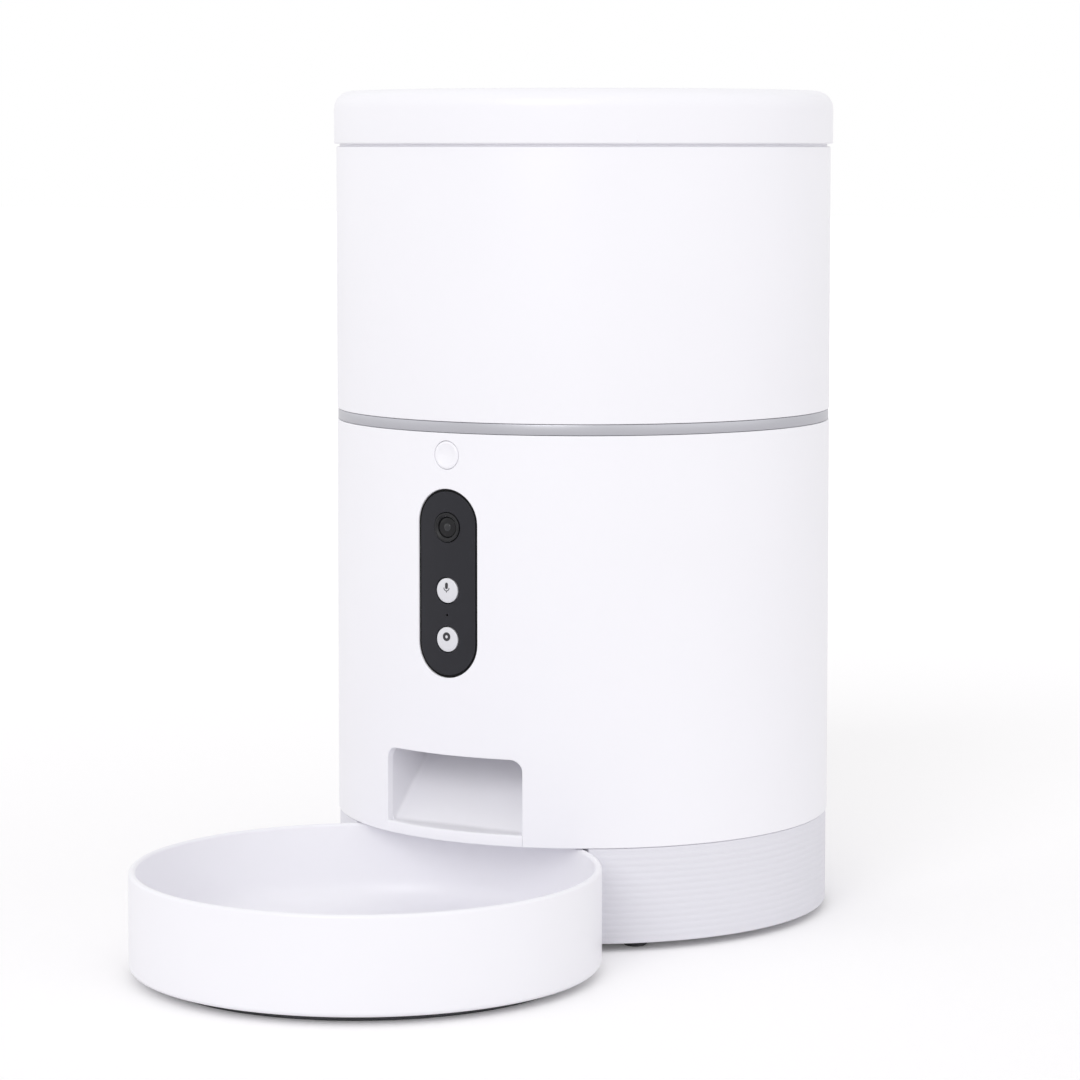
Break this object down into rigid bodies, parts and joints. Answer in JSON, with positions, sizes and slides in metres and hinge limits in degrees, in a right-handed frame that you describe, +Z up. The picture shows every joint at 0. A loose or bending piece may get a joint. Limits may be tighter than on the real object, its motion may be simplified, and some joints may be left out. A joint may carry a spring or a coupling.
{
  "type": "pet feeder with camera",
  "caption": "Round tower pet feeder: lift-off food tank with a geared portion rotor, chute to a round bowl, camera and button panel.",
  "frame": {"origin": "on the table plane under the middle of the whole object's box, bowl and tower together", "axes": "+Z up, +Y from the front, where the bowl and the camera are, to the back, +X to the right of someone who faces the front"},
  "size_m": [0.1936, 0.328, 0.3151],
  "materials": {
    "white_shell": "moulded ABS, fine satin gloss, white with a cool tint",
    "grey_base": "moulded ABS, light grey with fine level ribs",
    "bright_band": "plated band, brushed round its length",
    "black_gloss": "polished black polycarbonate",
    "button_pearl": "pearl silver paint on moulded plastic",
    "lens_glass": "coated cover glass",
    "inner_plastic": "moulded ABS, natural white",
    "grey_plastic": "moulded ABS, mid grey",
    "nylon_gear": "moulded nylon, natural",
    "steel": "plated steel",
    "rubber_dark": "moulded rubber, dark grey",
    "silicone_clear": "moulded silicone, milky",
    "circuit_board": "solder-masked glass laminate",
    "cell_jacket": "plain jacket on a round cell"
  },
  "bodies": {
    "tower": {"lower_shell": "white_shell", "trim_band": "bright_band", "tank_seat_ring": "grey_plastic", "chassis_plate": "grey_plastic", "food_chute": "white_shell", "gearbox_case": "grey_plastic", "gearbox_cover": "grey_plastic", "idler_axle": "steel", "drive_motor": "steel", "camera_fascia": "black_gloss", "lens_ring": "black_gloss", "lens_window": "lens_glass", "camera_module": "black_gloss", "microphone": "rubber_dark", "panel_board": "circuit_board", "main_board": "circuit_board", "speaker": "grey_plastic", "base_ring": "grey_base", "bottom_plate": "grey_base", "battery_box": "grey_plastic", "battery_cell_1": "cell_jacket", "battery_cell_2": "cell_jacket", "battery_cell_3": "cell_jacket", "battery_contact_front": "steel", "battery_contact_rear": "steel", "power_inlet": "black_gloss", "base_screw_1": "steel", "base_screw_2": "steel", "base_screw_3": "steel", "base_screw_4": "steel", "gearbox_screw_1": "steel", "gearbox_screw_2": "steel", "rubber_foot_1": "rubber_dark", "rubber_foot_2": "rubber_dark", "rubber_foot_3": "rubber_dark", "rubber_foot_4": "rubber_dark"},
    "tank": {"food_tank": "white_shell", "food_hopper": "inner_plastic", "tank_floor": "inner_plastic", "portion_baffle": "inner_plastic", "tank_floor_screw_1": "steel", "tank_floor_screw_2": "steel", "tank_floor_screw_3": "steel"},
    "lid": {"lid_cover": "white_shell", "lid_liner": "inner_plastic", "lid_seal": "silicone_clear", "desiccant_box": "inner_plastic", "desiccant_cartridge": "silicone_clear"},
    "desiccant_cover": {"desiccant_cover": "grey_plastic"},
    "rotor": {"portion_rotor": "silicone_clear", "stirrer": "grey_plastic"},
    "output_gear": {"output_gear": "nylon_gear"},
    "idler_gear": {"idler_gear": "nylon_gear"},
    "motor_pinion": {"motor_pinion": "steel"},
    "record_button": {"record_button": "button_pearl"},
    "play_button": {"play_button": "button_pearl"},
    "feed_button": {"feed_button": "white_shell"},
    "bowl": {"food_bowl": "white_shell", "bowl_grip_ring": "rubber_dark"},
    "battery_door": {"battery_door": "grey_base"}
  },
  "joints": [
    {"name": "tank_lift", "type": "slide", "parent": "tower", "child": "tank", "axis": [0, 0, 1], "range_m": [0, 0.08]},
    {"name": "lid_lift", "type": "slide", "parent": "tank", "child": "lid", "axis": [0, 0, 1], "range_m": [0, 0.06]},
    {"name": "desiccant_cover_turn", "type": "hinge", "parent": "lid", "child": "desiccant_cover", "pos_m": [0, 0.0672, 0.283], "axis": [0, 0, 1], "range_deg": [0, 30]},
    {"name": "rotor_turn", "type": "hinge", "parent": "tank", "child": "rotor", "pos_m": [0, 0.0672, 0.165], "axis": [0, 0, 1], "continuous": true},
    {"name": "output_gear_turn", "type": "hinge", "parent": "tower", "child": "output_gear", "pos_m": [0, 0.0672, 0.134], "axis": [0, 0, 1], "continuous": true},
    {"name": "idler_gear_turn", "type": "hinge", "parent": "tower", "child": "idler_gear", "pos_m": [0, 0.0912, 0.13], "axis": [0, 0, 1], "continuous": true},
    {"name": "motor_pinion_turn", "type": "hinge", "parent": "tower", "child": "motor_pinion", "pos_m": [0, 0.1152, 0.127], "axis": [0, 0, 1], "continuous": true},
    {"name": "record_button_press", "type": "slide", "parent": "tower", "child": "record_button", "axis": [0, 1, 0], "range_m": [0, 0.0008], "stiffness_N_per_m": 400, "springref_m": -0.0015},
    {"name": "play_button_press", "type": "slide", "parent": "tower", "child": "play_button", "axis": [0, 1, 0], "range_m": [0, 0.0008], "stiffness_N_per_m": 400, "springref_m": -0.0015},
    {"name": "feed_button_press", "type": "slide", "parent": "tower", "child": "feed_button", "axis": [0, 1, 0], "range_m": [0, 0.0008], "stiffness_N_per_m": 400, "springref_m": -0.0015},
    {"name": "bowl_slide", "type": "slide", "parent": "tower", "child": "bowl", "axis": [0, -1, 0], "range_m": [0, 0.06]},
    {"name": "battery_door_slide", "type": "slide", "parent": "tower", "child": "battery_door", "axis": [0, 1, 0], "range_m": [0, 0.008]}
  ],
  "couplings": [
    {"joint": "output_gear_turn", "follows": "rotor_turn", "ratio": 1},
    {"joint": "idler_gear_turn", "follows": "rotor_turn", "ratio": -3},
    {"joint": "motor_pinion_turn", "follows": "rotor_turn", "ratio": 9}
  ]
}
